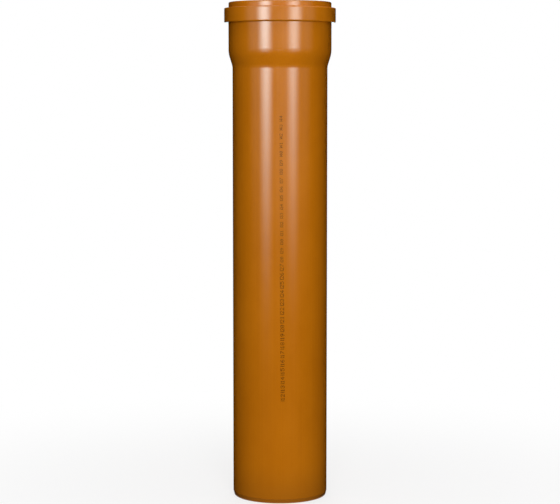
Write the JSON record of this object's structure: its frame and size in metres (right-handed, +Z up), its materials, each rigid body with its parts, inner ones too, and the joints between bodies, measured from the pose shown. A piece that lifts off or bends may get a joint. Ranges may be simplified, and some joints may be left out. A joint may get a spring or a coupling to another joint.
{
  "type": "plastic sewer pipe",
  "caption": "Orange-brown plastic sewer pipe with a plain chamfered end and a formed push-fit socket with a rubber seal ring in its bead.",
  "frame": {"origin": "centre of the spigot's end face, where the pipe stands on the floor", "axes": "+Z runs up the bore and out of the socket's mouth; X and Y are the horizontal axes, and the printed line faces -Y"},
  "size_m": [0.1289, 0.1288, 0.5759],
  "materials": {
    "pipe_plastic": "satin",
    "seal_rubber": "matte"
  },
  "bodies": {
    "root": {"pipe": "pipe_plastic", "seal_ring": "seal_rubber"}
  },
  "joints": []
}
